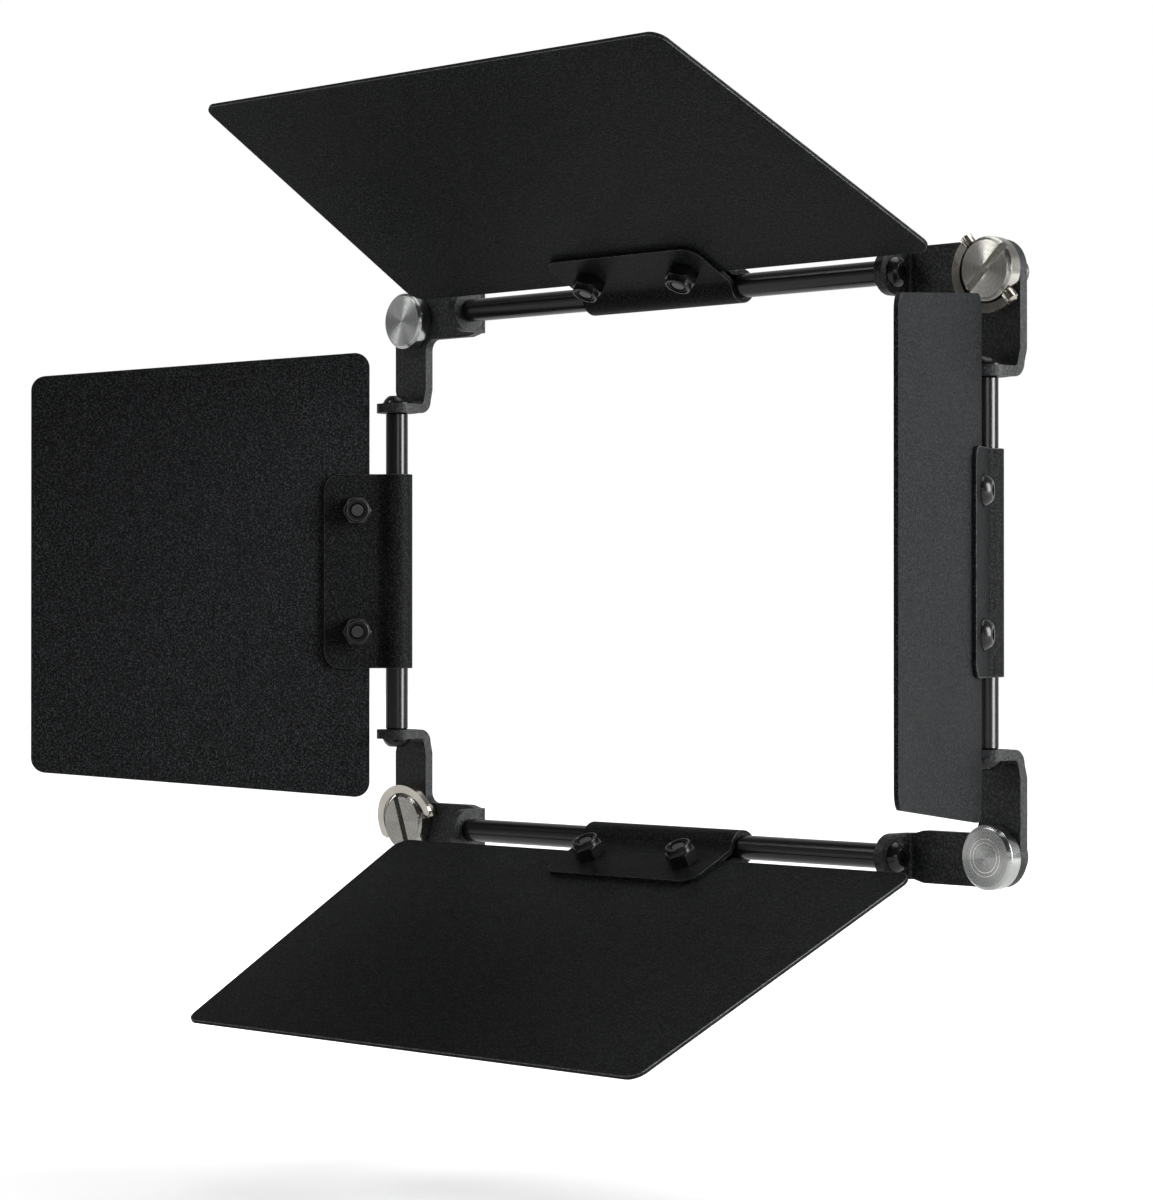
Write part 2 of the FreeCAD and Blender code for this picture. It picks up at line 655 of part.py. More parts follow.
def corner_placement(sign, tilt):
    rotation = FreeCAD.Rotation(AXIS_X, 90).multiply(FreeCAD.Rotation(AXIS_Z, tilt))
    base = FreeCAD.Vector(sign * num(KNOB_X), -num("plate_thick"), sign * num(KNOB_Z))
    return FreeCAD.Placement(base, rotation)


def thumbscrew(label, sign, turn):
    body = new_body(label)
    sketch = new_sketch(body, label + "_section", "XZ_Plane")
    outline(sketch, [
        ("0", "head_gap + head_high"),
        ("head_dia / 2 - head_bevel", "head_gap + head_high"),
        ("head_dia / 2", "head_gap + head_high - head_bevel"),
        ("head_dia / 2", "head_gap + head_foot"),
        ("head_dia / 2 - head_foot", "head_gap"),
        ("neck_dia / 2", "head_gap"),
        ("neck_dia / 2", "0 - plate_thick"),
        ("thread_dia / 2", "0 - plate_thick - ( thread_dia - neck_dia ) / 2"),
        ("thread_dia / 2", "0 - plate_thick - thread_long + thread_bevel"),
        ("thread_dia / 2 - thread_bevel", "0 - plate_thick - thread_long"),
        ("0", "0 - plate_thick - thread_long"),
    ])
    revolve(body, sketch, label + "_turned", "V_Axis")
    sketch = new_sketch(body, label + "_slot_section", "YZ_Plane")
    top = "head_gap + head_high"
    outline(sketch, [
        ("0 - slot_wide / 2", top + " - slot_deep"),
        ("slot_wide / 2", top + " - slot_deep"),
        ("slot_wide / 2", top + " + 1"),
        ("0 - slot_wide / 2", top + " + 1"),
    ])
    pocket(body, sketch, label + "_slot", "head_dia + 2", middle=True)
    # two blind holes for the ring's pivot pins, on the axis square to the slot
    for name, off, flip in (("near", "0 - head_dia / 2", True), ("far", "head_dia / 2", False)):
        sketch = new_sketch(body, label + "_pivot_" + name, "XZ_Plane", off)
        circle(sketch, "0", "head_gap + head_high / 2", "( ring_pin + ring_pin_fit ) / 2")
        pocket(body, sketch, label + "_hole_" + name, "ring_pin_deep + ring_pin_room", reverse=flip)
    body.Placement = corner_placement(sign, num(turn))
    return body


def folding_ring(label, sign, turn, fold):
    """Half ring of sheet about its pivot axis Y, with a ridged lug over each pivot pin."""
    body = new_body(label)
    inner = "( head_dia / 2 + ring_gap )"
    outer = "( head_dia / 2 + ring_gap + ring_wide )"
    middle = "( head_dia / 2 + ring_gap + ring_wide / 2 )"
    face = "( head_dia / 2 + lug_gap )"
    sketch = new_sketch(body, label + "_section", "XY_Plane")
    circle(sketch, "0", "0", outer)
    circle(sketch, "0", "0", inner)
    pad(body, sketch, label + "_sheet", "ring_thick", middle=True)
    sketch = new_sketch(body, label + "_half", "XY_Plane")
    outline(sketch, [
        ("0", "0 - " + outer + " - 1"),
        (outer + " + 1", "0 - " + outer + " - 1"),
        (outer + " + 1", outer + " + 1"),
        ("0", outer + " + 1"),
    ])
    pocket(body, sketch, label + "_open_half", "ring_thick * 2", middle=True)
    sketch = new_sketch(body, label + "_ends", "XY_Plane")
    circle(sketch, "0", middle, "ring_wide / 2")
    circle(sketch, "0", "0 - " + middle, "ring_wide / 2")
    pad(body, sketch, label + "_round_ends", "ring_thick", middle=True)
    # the lugs are half round, with seven ridges along the pivot axis on the front side
    ridges = [("lug_dia / 2 - ridge_deep", 0)]
    for step in range(7):
        ridges += [("lug_dia / 2", step * 180 / 7 + 5), ("lug_dia / 2", (step + 1) * 180 / 7 - 5)]
        ridges.append(("lug_dia / 2 - ridge_deep", (step + 1) * 180 / 7))
    rim = [("( " + radius + " ) * cos( %.4f deg )" % angle,
            "( " + radius + " ) * sin( %.4f deg )" % angle) for radius, angle in ridges]
    rim[0] = (rim[0][0], "0")
    rim[-1] = (rim[-1][0], "0")
    for name, off, away in (("near", face, False), ("far", "0 - " + face, True)):
        sketch = new_sketch(body, label + "_lug_outline_" + name, "XZ_Plane", off)
        outline(sketch, rim)
        pad(body, sketch, label + "_lug_" + name, outer + " - " + face, reverse=away)
        sketch = new_sketch(body, label + "_pin_outline_" + name, "XZ_Plane", off)
        circle(sketch, "0", "0", "ring_pin / 2")
        pad(body, sketch, label + "_pin_" + name, "ring_pin_deep + lug_gap", reverse=not away)
    # at rest the upper screw's ring lies to the lower left, and the lower screw's ring,
    # the same part, is folded over to the other side, so that its plain back shows
    base = corner_placement(sign, num(turn))
    base = base.multiply(FreeCAD.Placement(
        FreeCAD.Vector(0, 0, num("head_gap + head_high / 2")),
        FreeCAD.Rotation(AXIS_Y, num(fold))))
    body.Placement = base
    return body


def stud_placement(sign):
    base = FreeCAD.Vector(sign * num(KNOB_X), -num("plate_thick"), -sign * num(KNOB_Z))
    return FreeCAD.Placement(base, FreeCAD.Rotation(AXIS_X, 90))


def stud(label, sign):
    """Turned head of a locating stud, bored from behind for the nose's shank."""
    body = new_body(label)
    sketch = new_sketch(body, label + "_section", "XZ_Plane")
    bore = "( stud_shank + stud_fit ) / 2"
    outline(sketch, [
        ("0", "head_high"),
        ("head_dia / 2 - head_bevel", "head_high"),
        ("head_dia / 2", "head_high - head_bevel"),
        ("head_dia / 2", "head_foot"),
        ("head_dia / 2 - head_foot", "0"),
        (bore, "0"),
        (bore, "shank_sunk + shank_room"),
        ("0", "shank_sunk + shank_room"),
    ])
    revolve(body, sketch, label + "_turned", "V_Axis")
    body.Placement = stud_placement(sign)
    return body


def nose(label, sign):
    """Locating nose behind the bracket, with the shank that holds it to the head."""
    body = new_body(label)
    sketch = new_sketch(body, label + "_section", "XZ_Plane")
    outline(sketch, [
        ("0", "shank_sunk"),
        ("stud_shank / 2", "shank_sunk"),
        ("stud_shank / 2", "0 - plate_thick"),
        ("nose_dia / 2", "0 - plate_thick"),
        ("nose_dia / 2", "0 - plate_thick - nose_long + nose_bevel"),
        ("nose_dia / 2 - nose_bevel", "0 - plate_thick - nose_long"),
        ("0", "0 - plate_thick - nose_long"),
    ])
    revolve(body, sketch, label + "_turned", "V_Axis")
    body.Placement = stud_placement(sign)
    return body


parts.append(thumbscrew("thumbscrew_top_right", 1, "slot_angle_right"))
parts.append(thumbscrew("thumbscrew_bottom_left", -1, "slot_angle_left"))
parts.append(folding_ring("folding_ring_top_right", 1, "slot_angle_right", "fold_angle_right"))
parts.append(folding_ring("folding_ring_bottom_left", -1, "slot_angle_left", "fold_angle_left"))
parts.append(stud("locating_stud_bottom_right", 1))
parts.append(stud("locating_stud_top_left", -1))
parts.append(nose("stud_nose_bottom_right", 1))
parts.append(nose("stud_nose_top_left", -1))

doc.recompute()
for item in doc.Objects:
    if "Invalid" in item.State or "Error" in item.State:
        raise RuntimeError("failed: " + item.Name + " " + str(item.State))
for item in parts:
    if item.Shape.isNull() or not item.Shape.isValid():
        raise RuntimeError("bad shape: " + item.Label)

os.makedirs("parts", exist_ok=True)
for item in parts:
    item.Shape.exportStep(os.path.join("parts", item.Label + ".step"))
    print(item.Label, len(item.Shape.Solids), round(item.Shape.Volume, 2))
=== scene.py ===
# %% [markdown]
# # Barn door attachment
# Four black flaps on friction hinges, carried by four corner brackets that are screwed
# to the front of a small LED lamp. The script loads the fixed frame from CAD and then
# dresses it: soft edges on the sheet metal, cut threads, turned and powder-coated
# finishes, a camera and plain studio light. Everything is in metres.

# %% Load the frame
import json
import math

import bpy
from mathutils import Matrix, Vector

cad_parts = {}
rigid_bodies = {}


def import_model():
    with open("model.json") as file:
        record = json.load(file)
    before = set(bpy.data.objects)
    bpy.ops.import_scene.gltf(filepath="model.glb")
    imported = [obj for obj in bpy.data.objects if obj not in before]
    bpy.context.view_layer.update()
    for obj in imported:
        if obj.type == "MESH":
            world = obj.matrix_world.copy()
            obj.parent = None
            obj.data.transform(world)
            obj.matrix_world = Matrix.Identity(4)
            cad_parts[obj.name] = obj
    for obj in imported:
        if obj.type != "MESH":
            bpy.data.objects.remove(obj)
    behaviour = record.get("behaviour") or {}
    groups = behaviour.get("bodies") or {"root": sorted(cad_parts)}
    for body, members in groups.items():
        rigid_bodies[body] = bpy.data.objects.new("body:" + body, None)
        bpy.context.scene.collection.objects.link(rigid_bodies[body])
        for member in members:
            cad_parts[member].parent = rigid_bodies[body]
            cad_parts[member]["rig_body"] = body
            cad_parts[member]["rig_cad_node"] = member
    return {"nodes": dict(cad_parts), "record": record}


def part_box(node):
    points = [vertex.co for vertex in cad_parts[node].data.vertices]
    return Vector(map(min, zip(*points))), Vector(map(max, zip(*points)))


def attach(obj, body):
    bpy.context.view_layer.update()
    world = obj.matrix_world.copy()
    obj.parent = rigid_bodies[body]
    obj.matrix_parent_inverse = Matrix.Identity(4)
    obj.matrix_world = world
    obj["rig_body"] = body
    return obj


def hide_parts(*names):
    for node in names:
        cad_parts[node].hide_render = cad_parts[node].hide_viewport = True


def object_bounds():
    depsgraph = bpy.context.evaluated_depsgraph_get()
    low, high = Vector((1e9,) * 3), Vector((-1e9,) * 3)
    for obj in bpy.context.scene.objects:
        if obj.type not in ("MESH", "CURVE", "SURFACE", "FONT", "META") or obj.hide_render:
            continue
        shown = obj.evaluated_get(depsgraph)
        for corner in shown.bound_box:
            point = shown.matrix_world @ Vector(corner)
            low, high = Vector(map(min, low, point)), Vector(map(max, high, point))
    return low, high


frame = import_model()
cad_box = [list(corner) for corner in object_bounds()]
nodes = frame["nodes"]
bpy.ops.object.select_all(action="DESELECT")
print("CAD box:", cad_box, "nodes:", len(nodes))

# %% [markdown]
# ## Camera
# The attachment is seen from about 46 degrees to the right of its light beam and level
# with it, through a long lens, so that the two near corners look about a fifth larger
# than the far ones. The camera is placed on a sphere round the attachment and then moved
# aside and down a little, because the flaps reach further to the left.

# %% Camera
TURN = math.radians(46.15)
TILT = math.radians(-0.28)
DISTANCE, ASIDE, RAISED = 0.9163, -0.0283, -0.0082

forward = Vector((-math.sin(TURN) * math.cos(TILT),
                  math.cos(TURN) * math.cos(TILT),
                  -math.sin(TILT)))
right = Vector((math.cos(TURN), math.sin(TURN), 0.0))
up = right.cross(forward)

bpy.ops.object.camera_add(location=-forward * DISTANCE + right * ASIDE + up * RAISED)
camera = bpy.context.object
camera.name = "studio_camera"
camera.rotation_euler = Matrix((right, up, -forward)).transposed().to_euler()
camera.data.sensor_fit = "HORIZONTAL"
camera.data.sensor_width = 36.0
camera.data.lens = 112.5
camera.data.clip_end = 50.0
bpy.context.scene.camera = camera
print("camera at", [round(v, 3) for v in camera.location])

# %% [markdown]
# ## Shader helper
# Materials are written as plain expressions. `Wire` wraps one socket, and arithmetic on
# it adds the Math nodes. `Finish` makes a material and adds any other node by its type,
# its settings and the values or links of its sockets.

# %% Wire and Finish
class Wire:
    """One output socket; arithmetic on it adds Math nodes."""

    def __init__(self, finish, socket):
        self.finish, self.socket = finish, socket

    def math(self, operation, *terms):
        return self.finish.node("ShaderNodeMath", {"operation": operation},
                                dict(enumerate(terms)))

    def __add__(self, other):
        return self.math("ADD", self, other)

    def __sub__(self, other):
        return self.math("SUBTRACT", self, other)

    def __rsub__(self, other):
        return self.math("SUBTRACT", other, self)

    def __mul__(self, other):
        return self.math("MULTIPLY", self, other)

    def sine(self):
        return self.math("SINE", self)

    def near(self, value, width):
        """1 where the wire is within a width of a value, else 0."""
        return self.math("COMPARE", self, value, width)

    def spread(self, low, high):
        """0 at low, 1 at high, held there on both sides."""
        return self.finish.node("ShaderNodeMapRange", {"clamp": True},
                                {0: self, 1: low, 2: high})

    __radd__ = __add__
    __rmul__ = __mul__


class Finish:
    """A node tree that grows one call at a time."""

    def __init__(self, name):
        self.material = bpy.data.materials.new(name)
        self.material.use_nodes = True
        self.tree = self.material.node_tree
        self.shader = self.tree.nodes["Principled BSDF"]

    def node(self, kind, settings=None, inputs=None, output=0):
        """Adds a node: its settings first, then the values or links of its sockets."""
        made = self.tree.nodes.new(kind)
        for key, value in (settings or {}).items():
            setattr(made, key, value)
        for key, value in (inputs or {}).items():
            self.join(made.inputs[key], value)
        return Wire(self, made.outputs[output])

    def join(self, socket, value):
        if isinstance(value, Wire):
            self.tree.links.new(value.socket, socket)
        else:
            socket.default_value = value

    def surface(self, **values):
        """Sets or links the shader's own sockets and gives back the finished material."""
        for key, value in values.items():
            self.join(self.shader.inputs[key.replace("_", " ")], value)
        return self.material

    def place(self, centre=(0, 0, 0), scale=(1, 1, 1)):
        """Object coordinates measured from a centre, stretched by a scale."""
        return self.node("ShaderNodeMapping", {"vector_type": "POINT"},
                         {"Vector": self.node("ShaderNodeTexCoord", output="Object"),
                          "Location": [-c * s for c, s in zip(centre, scale)], "Scale": scale})

    def noise(self, place, scale, detail=2.0, roughness=0.5):
        """Cloudy noise from 0 to 1, with so many grains to the metre."""
        return self.node("ShaderNodeTexNoise", {"noise_dimensions": "3D"},
                         {"Vector": place, "Scale": scale, "Detail": detail,
                          "Roughness": roughness})

    def bump(self, height, strength, distance, below=None):
        """Turns a height into a normal, on top of the bump below it."""
        inputs = {"Height": height, "Strength": strength, "Distance": distance}
        if below is not None:
            inputs["Normal"] = below
        return self.node("ShaderNodeBump", None, inputs)

    def blend(self, factor, dark, light):
        """Mixes two colours by a factor."""
        return self.node("ShaderNodeMix", {"data_type": "RGBA"},
                         {0: factor, 6: (*dark, 1.0), 7: (*light, 1.0)}, output=2)


def grey(value, warmth=0.0):
    """A grey, warmer above 0 and cooler below."""
    return (value * (1 + warmth), value, value * (1 - warmth))


print("shader helper ready")

# %% [markdown]
# ## Powder coat
# The flaps, clips and brackets are sheet metal under a fine-texture black powder coat:
# a dense orange-peel of grains a fifth of a millimetre across that breaks up every
# reflection. Two layers of noise bump give the grain, and its colour is darker in the
# pits and paler on the tips: painted shade and painted highlight on the grain. A wide,
# weak noise keeps large flat sheets from looking printed. The rims have a paler,
# slightly glossier copy of the coat: a painted highlight along every edge.

# %% Powder coat finish
COOL = -0.05
# Pits and tips of the grain: painted shade and painted highlight in the coat's colour.
PIT_PAINTED_SHADE, TIP_PAINTED_HIGHLIGHT = 0.5, 3.3  # how much darker and paler than the coat's own tone they are


def powder_coat(name, tone, grain, roughness, gloss=0.04):
    """Black powder coat of a tone, with so many grains to the metre."""
    finish = Finish(name)
    spot = finish.place()
    fine = finish.noise(spot, grain, 2.0, 0.6)
    coarse = finish.noise(spot, grain * 0.35, 1.0)
    cloud = finish.noise(spot, 18.0, 3.0)
    # The grain's colour follows its bump: painted shade in the pits, painted highlight on the
    # tips.
    colour = finish.blend(fine.spread(0.46, 0.68),
                          grey(tone * PIT_PAINTED_SHADE, COOL), grey(tone * TIP_PAINTED_HIGHLIGHT, COOL))
    low = finish.bump(coarse, 0.5, 0.00012)
    return finish.surface(Base_Color=colour, Normal=finish.bump(fine, 0.8, 0.00014, low),
                          Roughness=(cloud - 0.5) * 0.16 + (fine - 0.5) * 0.20 + roughness,
                          Specular_IOR_Level=gloss)


flap_coat = powder_coat("flap_powder_coat", 0.0102, 2200.0, 0.56)
bracket_coat = powder_coat("bracket_powder_coat", 0.0125, 1700.0, 0.46, 0.22)
# The clips' coat is darker than the flaps': painted shade near the hinges.
clip_coat_painted_shade = powder_coat("clip_powder_coat_painted_shade", 0.0072, 2200.0, 0.50)
# Paler, glossier copies of the coat for the bevelled rims: a painted highlight along the
# edges.
flap_rim_painted_highlight = powder_coat("flap_rim_painted_highlight_coat", 0.034, 2000.0, 0.40, 0.30)
bracket_rim_painted_highlight = powder_coat("bracket_rim_painted_highlight_coat", 0.026, 1700.0, 0.38, 0.30)
print("powder coats:", [coat.name for coat in (flap_coat, bracket_coat, clip_coat_painted_shade,
                                               flap_rim_painted_highlight, bracket_rim_painted_highlight)])

# %% [markdown]
# ## Blackened steel
# The rods are smooth blackened bar that shows long soft highlights, and the screws and
# nuts are glossy black zinc. Fine lengthwise streaks and a few paler rubbed specks keep
# them from looking like plastic.

# %% Blackened steel finish
def black_steel(name, tone, roughness, streak, gloss):
    """Black steel; streak is the scale of its noise, small along the streaks."""
    finish = Finish(name)
    drawn = finish.noise(finish.place(scale=streak), 900.0, 3.0)
    rubbed = finish.noise(finish.place(), 700.0, 2.0, 0.7).spread(0.64, 0.80)
    colour = finish.blend(rubbed * 0.5, grey(tone), grey(tone * 3.0, 0.03))
    return finish.surface(Base_Color=colour, Roughness=(drawn - 0.5) * 0.10 + roughness,
                          Normal=finish.bump(drawn, 0.08, 0.00002), Specular_IOR_Level=gloss)


rod_black_x = black_steel("rod_black_long", 0.006, 0.22, (0.06, 1.0, 1.0), 0.3)
rod_black_z = black_steel("rod_black_short", 0.006, 0.22, (1.0, 1.0, 0.06), 0.4)
fastener_black = black_steel("fastener_black", 0.006, 0.24, (1.0, 1.0, 1.0), 0.32)
print("steels:", rod_black_x.name, rod_black_z.name, fastener_black.name)

# %% [markdown]
# ## Turned nickel
# The heads of the corner screws and studs are faced on a lathe and nickel plated. The
# cutter leaves fine rings round the centre, which spread each light into a bright
# wedge. The rings are a wave of the distance from the head's own axis, so each head
# has its own copy of the finish, measured from its own centre.

# %% Turned nickel finish
RING_PITCH = 0.00024
SCRIBED_HALF_WIDTH = 0.00011
# The cut rings are coloured pale: a painted highlight in each groove.
SCRIBED_PAINTED_HIGHLIGHT = (0.92, 0.92, 0.88, 1.0)


def turned_nickel(name, centre, tone, scribed=()):
    """Faced and plated; scribed gives the radii of cut rings."""
    finish = Finish(name)
    spot = finish.place(centre, (1.0, 0.0, 1.0))
    radius = finish.node("ShaderNodeVectorMath", {"operation": "LENGTH"}, {0: spot},
                         output="Value")
    solid = finish.place(centre)
    wobble = finish.noise(solid, 300.0)
    stain = finish.noise(solid, 150.0, 3.0, 0.5)
    rings = (radius * (2 * math.pi / RING_PITCH) + wobble * 0.8).sine()
    broad = (radius * 5200.0 + wobble * 0.5).sine()
    colour = finish.blend(stain * 0.4 + broad * 0.14 + 0.3,
                          [c * 0.78 for c in tone], [c * 1.12 for c in tone])
    height = finish.bump(broad, 0.15, 0.000012)
    for line in scribed:
        cut = radius.near(line, SCRIBED_HALF_WIDTH)
        height = finish.bump(cut, 0.8, 0.00004, height)
        # Each cut ring is mixed towards pale: a painted highlight.
        colour = finish.node("ShaderNodeMix", {"data_type": "RGBA"},
                             {0: cut * 0.8, 6: colour, 7: SCRIBED_PAINTED_HIGHLIGHT}, output=2)
    return finish.surface(Base_Color=colour, Metallic=1.0,
                          Roughness=(stain - 0.5) * 0.16 + 0.20,
                          Normal=finish.bump(rings, 1.0, 0.000013, height))


def centre_of(node):
    """The middle of a node's box."""
    low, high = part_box(node)
    return (low + high) / 2


heads = ("thumbscrew_top_right", "thumbscrew_bottom_left",
         "locating_stud_bottom_right", "locating_stud_top_left")
SCREW_TONE, STUD_TONE = (0.41, 0.40, 0.37), (0.42, 0.43, 0.42)
SCRIBED = {"locating_stud_bottom_right": (0.0035, 0.0044)}
head_finish = {}
for head in heads:
    tone = SCREW_TONE if head.startswith("thumbscrew") else STUD_TONE
    head_finish[head] = turned_nickel("turned_" + head, centre_of(head), tone,
                                      SCRIBED.get(head, ()))
print("turned heads:", {h: [round(v, 4) for v in centre_of(h)] for h in heads})

# %% [markdown]
# ## Stamped nickel, nylon and nose plastic
# The folding rings are stamped and barrel polished, so they carry small dents instead
# of turning marks and look a little warmer than the screws. The nylon rings in the
# nuts and the locating noses are plain moulded plastic with a faint grain.

# %% Small finishes
def stamped_nickel(name, tone):
    """Barrel-polished nickel with small dents."""
    finish = Finish(name)
    dents = finish.noise(finish.place(), 700.0, 2.0, 0.5)
    stain = finish.noise(finish.place(), 260.0, 3.0)
    colour = finish.blend(stain, [c * 0.70 for c in tone], tone)
    return finish.surface(Base_Color=colour, Metallic=1.0,
                          Roughness=(dents - 0.5) * 0.16 + 0.22,
                          Normal=finish.bump(dents, 0.12, 0.00002))


def moulded(name, tone, roughness, gloss=0.5):
    """Plain dark plastic with a faint grain."""
    finish = Finish(name)
    grain = finish.noise(finish.place(), 2600.0)
    colour = finish.blend(grain, grey(tone * 0.8), grey(tone * 1.2))
    return finish.surface(Base_Color=colour, Roughness=(grain - 0.5) * 0.1 + roughness,
                          Normal=finish.bump(grain, 0.2, 0.00002), Specular_IOR_Level=gloss)


ring_nickel = stamped_nickel("ring_nickel", (0.58, 0.55, 0.49))
nylon_black = moulded("nylon_black", 0.006, 0.40, 0.12)
nose_black = moulded("nose_black", 0.022, 0.55)
print("small finishes:", ring_nickel.name, nylon_black.name, nose_black.name)

# %% [markdown]
# ## Dressing the CAD pieces
# Sheet that has been blanked, bent and coated has no knife edges. Each CAD piece that
# shows is copied, its loose triangles are merged into clean faces, and a small bevel
# softens its edges, so that the edges catch the light. The copy stands for its CAD
# node. Curved walls are shaded smooth up to an angle, and weighted normals keep the large
# faces flat.

# %% Dress a node
MERGE = 0.000002
FLAT = math.radians(0.6)
CORNER = math.radians(32.0)
SMOOTH = math.radians(28.0)


def pick(thing):
    """Selects one object alone and makes it active."""
    bpy.ops.object.select_all(action="DESELECT")
    thing.select_set(True)
    bpy.context.view_layer.objects.active = thing


def dress(node, material, edge=0.0, rim=None, shape=None):
    """Copies a CAD node, merges it, shapes and softens it and gives it its finish."""
    pick(nodes[node])
    bpy.ops.object.duplicate()
    piece = bpy.context.object
    piece.name = piece.data.name = node + "_dressed"
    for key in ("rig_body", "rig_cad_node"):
        if key in piece:
            del piece[key]
    piece.parent = None
    bpy.ops.object.mode_set(mode="EDIT")
    bpy.ops.mesh.select_all(action="SELECT")
    bpy.ops.mesh.remove_doubles(threshold=MERGE)
    bpy.ops.mesh.dissolve_limited(angle_limit=FLAT)
    bpy.ops.object.mode_set(mode="OBJECT")
    piece.data.materials.clear()
    piece.data.materials.append(material)
    # The rim finish goes on the bevel's new faces: a painted highlight along the edges.
    if rim:
        piece.data.materials.append(rim)
    if shape:
        shape(piece)
    if edge:
        soft = piece.modifiers.new("soft_edges", "BEVEL")
        soft.width = edge
        soft.segments = 2
        soft.limit_method = "ANGLE"
        soft.angle_limit = CORNER
        soft.material = 1 if rim else -1
        bpy.ops.object.modifier_apply(modifier=soft.name)
    bpy.ops.object.shade_smooth_by_angle(angle=SMOOTH)
    level = piece.modifiers.new("level_faces", "WEIGHTED_NORMAL")
    level.mode, level.weight, level.keep_sharp = "FACE_AREA", 100, True
    bpy.ops.object.modifier_apply(modifier=level.name)
    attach(piece, body_of[node])
    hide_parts(node)
    return piece


bodies = frame["record"]["behaviour"]["bodies"]
body_of = {name: body for body, names in bodies.items() for name in names}
print("bodies:", sorted(set(body_of.values())))

# %% [markdown]
# ## Lock nut collars
# The round collar of a lock nut is rolled inwards over its nylon ring, so its outer rim
# is a quarter round and not an edge. The rim is the outermost circle on the end of each
# nut. It is found by its place, along the flap's own normal, and bevelled in edit mode.

# %% Round collars
COLLAR_ROLL = 0.00034
SAME_LEVEL = 0.00001
SAME_RING = 0.0001


def inward_normal(side):
    """The flap's normal on the side where its nuts are."""
    faces = nodes["flap_" + side].data.polygons
    normal = max(faces, key=lambda face: face.area).normal.copy()
    nut, flap = centre_of("lock_nuts_" + side), centre_of("flap_" + side)
    return normal if (nut - flap).dot(normal) > 0 else -normal


def round_collars(side):
    """A shaper for the pair of nuts on one side."""
    normal = inward_normal(side)
    along = 0 if side in ("top", "bottom") else 2

    def shape(piece):
        bpy.ops.object.mode_set(mode="EDIT")
        bpy.ops.mesh.select_mode(type="EDGE")
        bpy.ops.mesh.select_all(action="DESELECT")
        bpy.ops.object.mode_set(mode="OBJECT")
        spots = [vertex.co.copy() for vertex in piece.data.vertices]
        top = max(spot.dot(normal) for spot in spots)
        middle = sum(spot[along] for spot in spots) / len(spots)
        rims = set()
        for half in (False, True):
            ends = [i for i, spot in enumerate(spots)
                    if spot.dot(normal) > top - SAME_LEVEL and (spot[along] > middle) == half]
            axis = sum((spots[i] for i in ends), Vector()) / len(ends)
            reach = max((spots[i] - axis).length for i in ends)
            rims.update(i for i in ends if (spots[i] - axis).length > reach - SAME_RING)
        for line in piece.data.edges:
            line.select = all(i in rims for i in line.vertices)
        bpy.ops.object.mode_set(mode="EDIT")
        bpy.ops.mesh.bevel(offset=COLLAR_ROLL, segments=4, affect="EDGES")
        bpy.ops.object.mode_set(mode="OBJECT")
        print(piece.name, "rim points:", len(rims))

    return shape


# %% [markdown]
# ## Every piece
# Each kind of piece gets its finish and its own softness of edge. The coat is thickest on
# the brackets, so their edges are the roundest, while the small screws and nuts keep an
# edge that only just catches the light. The rods have their chamfers from the CAD, and
# the nylon rings lie sunk in the nuts, so both stay as they are.

# %% Dress every piece
SIDES = ("top", "right", "bottom", "left")
SCREW_CORNERS, STUD_CORNERS = ("top_right", "bottom_left"), ("bottom_right", "top_left")
BRACKET_EDGE, FLAP_EDGE, CLIP_EDGE = 0.00022, 0.00020, 0.00018
SCREW_EDGE, NUT_EDGE, RING_EDGE, NOSE_EDGE = 0.00006, 0.00010, 0.00020, 0.00010

dressed = {}
for corner in ("top_right", "bottom_left", "top_left", "bottom_right"):
    name = "corner_bracket_" + corner
    dressed[name] = dress(name, bracket_coat, BRACKET_EDGE, bracket_rim_painted_highlight)
for side in SIDES:
    rod_black = rod_black_x if side in ("top", "bottom") else rod_black_z
    for kind, material, edge, rim in (("flap_", flap_coat, FLAP_EDGE, flap_rim_painted_highlight),
                                      ("hinge_clip_", clip_coat_painted_shade, CLIP_EDGE, bracket_rim_painted_highlight),
                                      ("hinge_rod_", rod_black, 0.0, None),
                                      ("rod_screws_", fastener_black, SCREW_EDGE, None),
                                      ("clip_screws_", fastener_black, SCREW_EDGE, None),
                                      ("lock_nuts_", fastener_black, NUT_EDGE, None),
                                      ("nylon_rings_", nylon_black, 0.0, None)):
        shape = round_collars(side) if kind == "lock_nuts_" else None
        dressed[kind + side] = dress(kind + side, material, edge, rim, shape)
for head in heads:
    dressed[head] = dress(head, head_finish[head], SCREW_EDGE)
for corner in SCREW_CORNERS:
    name = "folding_ring_" + corner
    dressed[name] = dress(name, ring_nickel, RING_EDGE)
for corner in STUD_CORNERS:
    name = "stud_nose_" + corner
    dressed[name] = dress(name, nose_black, NOSE_EDGE)
print("dressed pieces:", len(dressed),
      "faces:", sum(len(piece.data.polygons) for piece in dressed.values()))

# %% [markdown]
# ## Camera threads
# The two fixing screws end in a quarter-inch thread with twenty turns to the inch. The
# CAD wall stands for its crests, so the wall is drawn in to the root and a ridge is wound
# round it: a small flat quad is made a trapezoid, and a Screw modifier carries it along
# the axis. A bump map wouldn't show in the silhouette.

# %% Thread ridge
PITCH = 0.00127
CREST = 0.003175
ROOT = CREST - 0.61 * PITCH
FOOT_WIDTH, TOP_WIDTH = 0.86, 0.14  # the ridge at its foot, in pitches, and its top's share
SUNK = 0.0001  # the ridge's foot lies this far inside the shank
CLOSE = 0.0001  # near enough, where points are picked by their place
STEPS = 28  # quads to the turn


